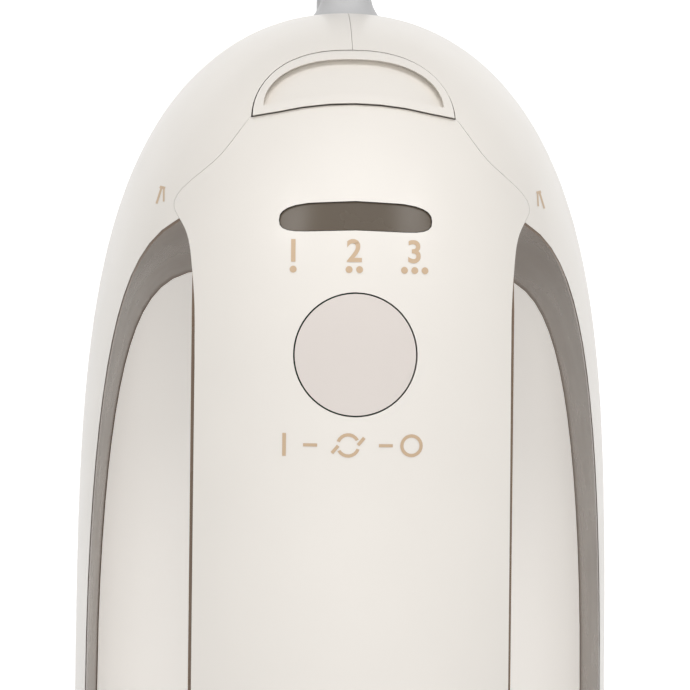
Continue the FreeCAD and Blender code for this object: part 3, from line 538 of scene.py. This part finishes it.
@dataclass
class Print:
    """Marks printed on the cover: numbers, dots, generic signs and two small arrows.

    Everything is in millimetres. An arrow's stroke is its x and z from the arrow's middle on
    the right-hand side, its width and height, and its lean in degrees.
    """

    number_level: float = 155.9
    number_size: float = 4.3
    number_pitch: float = 8.25
    number_shift: float = -0.27
    number_swell: float = 0.09
    dot_level: float = 153.5
    dot_size: float = 0.95
    dot_pitch: float = 1.42
    sign_level: float = 129.8
    sign_shift: float = -0.9
    sign_reach: float = 8.6
    sign_size: float = 3.1
    sign_line: float = 0.45
    turn_size: float = 3.3
    dash_reach: float = 5.1
    dash_size: tuple[float, float] = (1.9, 0.42)
    barb_size: tuple[float, float] = (0.45, 1.3)
    barb_place: tuple[float, float] = (1.75, 0.55)
    arrow_half: float = 27.3
    arrow_level: float = 164.7
    arrow_strokes: tuple[tuple[float, float, float, float, float], ...] = (
        (0.42, -0.1, 0.34, 2.5, -16),
        (-0.3, 0.0, 0.26, 2.2, 2),
        (-0.05, 1.05, 0.9, 0.4, -20),
    )
    ink: float = 0.07
    longest: float = 0.9
    front: float = -200.0

    def surface(self, frame: dict) -> BVHTree:
        """The outside of the covers, to lay the marks on."""
        shape = bmesh.new()
        for node in ("handle_top_cover", "body_shell_left", "body_shell_right"):
            shape.from_mesh(frame["nodes"][node].data)
        tree = BVHTree.FromBMesh(shape)
        shape.free()
        return tree

    def lay(self, name: str, shape: bmesh.types.BMesh, tree: BVHTree) -> bpy.types.Object:
        """Drops a flat outline in x and z on to the surface, and lifts it by the ink.

        Args:
            name: the mark's name.
            shape: its outline, which is freed here.
            tree: the surface it lands on.

        Returns:
            The mark's object.
        """
        bmesh.ops.triangulate(shape, faces=shape.faces)
        long_edges = [e for e in shape.edges if e.calc_length() > self.longest * MM]
        bmesh.ops.subdivide_edges(shape, edges=long_edges, cuts=3, use_grid_fill=True)
        for vert in shape.verts:
            start = Vector((vert.co.x, self.front * MM, vert.co.z))
            landing = tree.ray_cast(start, Vector((0, 1, 0)))[0]
            if landing:
                vert.co = landing + Vector((0, -self.ink * MM, 0))
        mesh = bpy.data.meshes.new(name)
        shape.to_mesh(mesh)
        shape.free()
        piece = new_object(name, mesh)
        dress(piece, PRINT)
        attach(piece, "housing")
        log.info("print %s", name)
        return piece

    def number(self, digit: int) -> bmesh.types.BMesh:
        """One numeral as a flat outline in x and z."""
        data = bpy.data.curves.new(f"digit_{digit}", "FONT")
        data.body = str(digit)
        data.size = self.number_size * MM
        data.align_x = "CENTER"
        data.align_y = "CENTER"
        data.offset = self.number_swell * MM
        text = new_object(f"digit_{digit}", data)
        bpy.context.view_layer.update()
        mesh = bpy.data.meshes.new_from_object(text)
        shape = bmesh.new()
        shape.from_mesh(mesh)
        bpy.data.objects.remove(text)
        bpy.data.meshes.remove(mesh)
        bmesh.ops.transform(shape, matrix=Matrix.Rotation(math.radians(90), 4, "X"),
                            verts=shape.verts)
        return shape

    def bar(self, shape: bmesh.types.BMesh, x: float, z: float, width: float, height: float,
            turn: float = 0.0) -> None:
        """Adds a flat bar.

        Args:
            shape: what it is added to.
            x, z: its middle, in millimetres.
            width, height: its size, in millimetres.
            turn: how far it leans, in degrees.
        """
        place = (Matrix.Translation(Vector((x, 0, z)) * MM)
                 @ Matrix.Rotation(math.radians(turn), 4, "Y")
                 @ Matrix.Diagonal((width * MM / 2, 1, height * MM / 2, 1))
                 @ Matrix.Rotation(math.radians(90), 4, "X"))
        bmesh.ops.create_grid(shape, x_segments=1, y_segments=1, size=1.0, matrix=place)

    def ring(self, shape: bmesh.types.BMesh, x: float, z: float, size: float, line: float,
             start: float = 0.0, sweep: float = 360.0) -> None:
        """Adds a flat ring, or part of one, by spinning a short line.

        Args:
            shape: what it is added to.
            x, z: its middle, in millimetres.
            size: its outer diameter, in millimetres.
            line: how wide its line is, in millimetres.
            start, sweep: where the arc starts and how far it goes, in degrees.
        """
        inner, outer = (size / 2 - line) * MM, size / 2 * MM
        middle = Vector((x, 0, z)) * MM
        way = Vector((math.cos(math.radians(start)), 0, math.sin(math.radians(start))))
        ends = [shape.verts.new(middle + way * r) for r in (inner, outer)]
        edge = shape.edges.new(ends)
        bmesh.ops.spin(shape, geom=[*ends, edge], cent=middle, axis=(0, -1, 0),
                       angle=math.radians(sweep), steps=max(8, int(sweep / 15)),
                       use_merge=sweep == 360.0)

    def dot(self, shape: bmesh.types.BMesh, x: float, z: float, size: float) -> None:
        """Adds one filled dot, placed and sized in millimetres."""
        upright = Matrix.Rotation(math.radians(90), 4, "X")
        place = Matrix.Translation(Vector((x, 0, z)) * MM) @ upright
        bmesh.ops.create_circle(shape, cap_ends=True, segments=20, radius=size * MM / 2,
                                matrix=place)

    def build(self, frame: dict) -> None:
        """Prints the three speed numbers with their dots, the signs and the arrows."""
        tree = self.surface(frame)
        for digit in (1, 2, 3):
            middle = (digit - 2) * self.number_pitch + self.number_shift
            shape = self.number(digit)
            bmesh.ops.translate(shape, vec=Vector((middle, 0, self.number_level)) * MM,
                                verts=shape.verts)
            self.lay(f"speed_number_{digit}", shape, tree)
            shape = bmesh.new()
            for i in range(digit):
                self.dot(shape, middle + (i - (digit - 1) / 2) * self.dot_pitch, self.dot_level,
                         self.dot_size)
            self.lay(f"speed_dots_{digit}", shape, tree)
        self.signs(tree)
        for side in (-1, 1):
            shape = bmesh.new()
            middle = side * self.arrow_half
            for x, z, width, height, lean in self.arrow_strokes:
                self.bar(shape, middle + side * x, self.arrow_level + z, width, height,
                         lean * side)
            self.lay(f"grip_arrow_{'left' if side < 0 else 'right'}", shape, tree)

    def signs(self, tree: BVHTree) -> None:
        """On, turn-over and off signs joined by short dashes, under the button."""
        level, line = self.sign_level, self.sign_line
        out, up = self.barb_place
        shape = bmesh.new()
        self.bar(shape, -self.sign_reach, level, 0.5, self.sign_size)
        self.bar(shape, -self.dash_reach, level, *self.dash_size)
        self.ring(shape, 0.0, level, self.turn_size, line, 30, 130)
        self.ring(shape, 0.0, level, self.turn_size, line, 210, 130)
        self.bar(shape, out, level + up, *self.barb_size, 40)
        self.bar(shape, -out, level - up, *self.barb_size, 40)
        self.bar(shape, self.dash_reach, level, *self.dash_size)
        self.ring(shape, self.sign_reach, level, self.sign_size, line)
        bmesh.ops.translate(shape, vec=Vector((self.sign_shift, 0, 0)) * MM, verts=shape.verts)
        self.lay("function_signs", shape, tree)


def smooth_copy(frame: dict, node: str, body: str, finish: Finish) -> bpy.types.Object:
    """Stands a merged, smoothly shaded copy in a node's place.

    Args:
        node: the node's name.
        body: the body the copy rides on.
        finish: the finish it takes.

    Returns:
        The copy.
    """
    source = frame["nodes"][node]
    shape = bmesh.new()
    shape.from_mesh(source.data)
    bmesh.ops.remove_doubles(shape, verts=shape.verts, dist=MERGE_DISTANCE)
    for face in shape.faces:
        face.smooth = True
    for edge in shape.edges:
        inner = len(edge.link_faces) == 2
        edge.smooth = inner and edge.calc_face_angle(0.0) < CREASE_ANGLE
    mesh = bpy.data.meshes.new(f"{node}_smooth")
    shape.to_mesh(mesh)
    shape.free()
    piece = new_object(f"{node}_smooth", mesh)
    piece.matrix_world = source.matrix_world.copy()
    dress(piece, finish)
    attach(piece, body)
    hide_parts(node)
    log.info("smooth copy of %s", node)
    return piece


@dataclass
class Casing:
    """The visible mouldings: shells, cover, grip, liner, panel, lever, button and window."""

    mouldings: dict[str, tuple[str, Finish]] = field(default_factory=lambda: {
        "body_shell_left": ("housing", CREAM),
        "body_shell_right": ("housing", CREAM),
        "handle_top_cover": ("housing", CREAM),
        "saddle_panel": ("housing", SADDLE),
        "eject_lever": ("ejector", CREAM),
        "push_button": ("button", BUTTON),
        "handle_grip": ("housing", TAUPE),
        "opening_liner": ("housing", TAUPE),
        "speed_window": ("housing", LENS),
    })
    fittings: dict[str, Finish] = field(default_factory=lambda: {
        "socket_bezels": TAUPE,
        "heel_pad": PAD,
        "case_screws": STEEL,
        "cord_strain_relief": GREY,
        "cord_tie": TIE,
        "plug_body": GREY,
        "plug_pins": BRASS,
    })

    def build(self, frame: dict) -> None:
        """Copies the mouldings smoothly and dresses the fittings."""
        for node, (body, finish) in self.mouldings.items():
            smooth_copy(frame, node, body, finish)
        for node, finish in self.fittings.items():
            dress_node(frame, node, finish)


@dataclass
class Drive:
    """What turns and what holds it: motor, gears, spindles, ejector, board and beaters."""

    finishes: dict[str, Finish] = field(default_factory=lambda: {
        "beater_left": CHROME,
        "beater_right": CHROME,
        "motor_shaft": STEEL,
        "front_bearing": STEEL,
        "rear_bearing": STEEL,
        "spindle_left": STEEL,
        "spindle_right": STEEL,
        "stator_core": IRON,
        "armature_core": IRON,
        "field_coils": COPPER,
        "commutator": COPPER,
        "spindle_bushes": BRASS,
        "carbon_brushes": CARBON,
        "brush_holders": BLACK,
        "cooling_fan": BLACK,
        "button_switch": BLACK,
        "front_bracket": FRAME,
        "rear_bracket": FRAME,
        "gearbox_frame": FRAME,
        "ejector_plate": FRAME,
        "worm_wheel_left": NYLON,
        "worm_wheel_right": NYLON,
        "control_board": BOARD,
        "speed_leds": DIODE,
    })

    springs: dict[str, tuple[str, float]] = field(default_factory=lambda: {
        "button_spring": ("button_press", 1.0),
        "ejector_spring": ("lever_press", 5.0),
    })

    def spring(self, frame: dict, node: str) -> None:
        """Stands in a smooth copy of a spring, with a mesh of its own.

        Args:
            node: the spring's node.
        """
        coil = smooth_copy(frame, node, "housing", SPRING)
        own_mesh(coil)

    def build(self, frame: dict) -> None:
        """Dresses each working piece and stands in the springs."""
        for node, finish in self.finishes.items():
            dress_node(frame, node, finish)
        for node, (joint, travel) in self.springs.items():
            self.spring(frame, node)


def main() -> None:
    """Builds the studio and the cord first, then dresses and prints the mixer."""
    logging.basicConfig(level=logging.INFO, format="%(message)s")
    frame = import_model()
    Studio().build()
    Cord().build(frame)
    Casing().build(frame)
    Drive().build(frame)
    Print().build(frame)
    bpy.context.view_layer.update()


if __name__ == "__main__":
    main()
